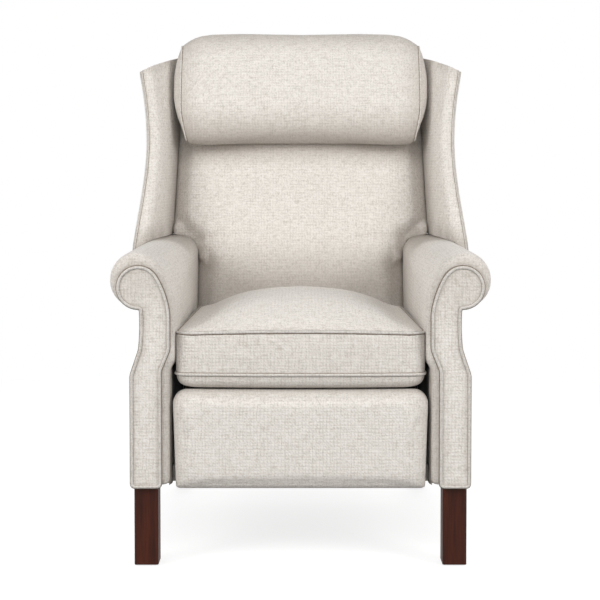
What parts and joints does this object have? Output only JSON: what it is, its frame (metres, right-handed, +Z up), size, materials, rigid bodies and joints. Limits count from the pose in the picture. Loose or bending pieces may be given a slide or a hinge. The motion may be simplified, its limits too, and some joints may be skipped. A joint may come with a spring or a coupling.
{
  "type": "recliner chair",
  "caption": "High-leg wing recliner with rolled arms, head bolster, boxed seat cushion, gliding seat, reclining back and fold-out footrest on twin linkages.",
  "frame": {"origin": "on the floor, midway between the outermost points left to right and front to back", "axes": "+Z up, the sitter faces -Y, +X is the left hand of the sitter"},
  "size_m": [0.8092, 0.92, 1.1777],
  "materials": {
    "upholstery": "matt oatmeal linen weave",
    "leg_wood": "dark mahogany, satin lacquer",
    "frame_wood": "sanded hardwood and plywood",
    "webbing": "woven jute and elastic straps",
    "linkage_steel": "black enamel, satin",
    "fastener_steel": "bright zinc",
    "glide": "moulded nylon"
  },
  "bodies": {
    "base": {"front_leg_left": "leg_wood", "front_leg_right": "leg_wood", "rear_leg_left": "leg_wood", "rear_leg_right": "leg_wood", "side_frame_left": "frame_wood", "side_frame_right": "frame_wood", "arm_left": "upholstery", "arm_right": "upholstery", "arm_facing_left": "upholstery", "arm_facing_right": "upholstery", "base_plate_left": "linkage_steel", "base_plate_right": "linkage_steel", "leg_blocks": "frame_wood", "base_bolts": "fastener_steel", "base_rivets": "fastener_steel", "leg_glides": "glide", "front_cross_rail": "frame_wood", "rear_panel": "frame_wood"},
    "front_swing": {"front_swing_links": "linkage_steel"},
    "seat": {"seat_plate_left": "linkage_steel", "seat_plate_right": "linkage_steel", "seat_rivets": "fastener_steel", "seat_side_rails": "frame_wood", "seat_front_rail": "frame_wood", "seat_rear_rail": "frame_wood", "seat_webbing_long": "webbing", "seat_webbing_cross": "webbing", "seat_cushion": "upholstery"},
    "rear_swing": {"rear_swing_links": "linkage_steel"},
    "recline_arms": {"recline_links": "linkage_steel"},
    "back": {"back_bracket_left": "linkage_steel", "back_bracket_right": "linkage_steel", "back_post_left": "frame_wood", "back_post_right": "frame_wood", "wing_left": "upholstery", "wing_right": "upholstery", "recline_pins": "fastener_steel", "back_bottom_rail": "frame_wood", "back_middle_rail": "frame_wood", "back_top_rail": "frame_wood", "outside_back": "upholstery", "inside_back": "upholstery", "head_bolster": "upholstery"},
    "front_rockers": {"front_rocker_left": "linkage_steel", "front_rocker_right": "linkage_steel", "front_rocker_rivets": "fastener_steel"},
    "rear_rockers": {"rear_rocker_left": "linkage_steel", "rear_rocker_right": "linkage_steel", "rear_rocker_rivets": "fastener_steel"},
    "thrust_links": {"thrust_link_left": "linkage_steel", "thrust_link_right": "linkage_steel", "cross_tube": "linkage_steel"},
    "guide_links": {"guide_link_left": "linkage_steel", "guide_link_right": "linkage_steel"},
    "footrest": {"footrest_bracket_left": "linkage_steel", "footrest_bracket_right": "linkage_steel", "bracket_rivets": "fastener_steel", "footrest_board": "frame_wood", "footrest_pad": "upholstery"}
  },
  "joints": [
    {"name": "front_swing_pivot", "type": "hinge", "parent": "base", "child": "front_swing", "pos_m": [0, -0.099, 0.215], "axis": [1, 0, 0], "range_deg": [0, 30]},
    {"name": "seat_glide_pivot", "type": "hinge", "parent": "front_swing", "child": "seat", "pos_m": [0, -0.07571, 0.30193], "axis": [-1, 0, 0], "range_deg": [0, 30]},
    {"name": "back_recline", "type": "hinge", "parent": "seat", "child": "back", "pos_m": [0, 0.181, 0.335], "axis": [-1, 0, 0], "range_deg": [0, 30]},
    {"name": "rear_swing_pivot", "type": "hinge", "parent": "base", "child": "rear_swing", "pos_m": [0, 0.071, 0.215], "axis": [1, 0, 0], "range_deg": [0, 30]},
    {"name": "recline_link_pivot", "type": "hinge", "parent": "base", "child": "recline_arms", "pos_m": [0, 0.1585, 0.19], "axis": [1, 0, 0], "range_deg": [0, 30]},
    {"name": "footrest_open", "type": "hinge", "parent": "seat", "child": "front_rockers", "pos_m": [0, -0.224, 0.338], "axis": [-1, 0, 0], "range_deg": [0, 90]},
    {"name": "rear_rocker_pivot", "type": "hinge", "parent": "seat", "child": "rear_rockers", "pos_m": [0, -0.16962, 0.31264], "axis": [-1, 0, 0], "range_deg": [0, 90]},
    {"name": "thrust_link_pivot", "type": "hinge", "parent": "front_rockers", "child": "thrust_links", "pos_m": [0, -0.17025, 0.19796], "axis": [1, 0, 0], "range_deg": [0, 90]},
    {"name": "guide_link_pivot", "type": "hinge", "parent": "front_rockers", "child": "guide_links", "pos_m": [0, -0.18637, 0.23997], "axis": [1, 0, 0], "range_deg": [0, 90]},
    {"name": "footrest_bracket_pivot", "type": "hinge", "parent": "thrust_links", "child": "footrest", "pos_m": [0, -0.36782, 0.29009], "axis": [-1, 0, 0], "range_deg": [0, 90]}
  ],
  "couplings": [
    {"joint": "front_swing_pivot", "follows": "back_recline", "ratio": 1},
    {"joint": "seat_glide_pivot", "follows": "back_recline", "ratio": 1},
    {"joint": "rear_swing_pivot", "follows": "back_recline", "ratio": 1},
    {"joint": "recline_link_pivot", "follows": "back_recline", "ratio": 0.908},
    {"joint": "rear_rocker_pivot", "follows": "footrest_open", "ratio": 1},
    {"joint": "thrust_link_pivot", "follows": "footrest_open", "ratio": 1},
    {"joint": "guide_link_pivot", "follows": "footrest_open", "ratio": 1},
    {"joint": "footrest_bracket_pivot", "follows": "footrest_open", "ratio": 1}
  ]
}
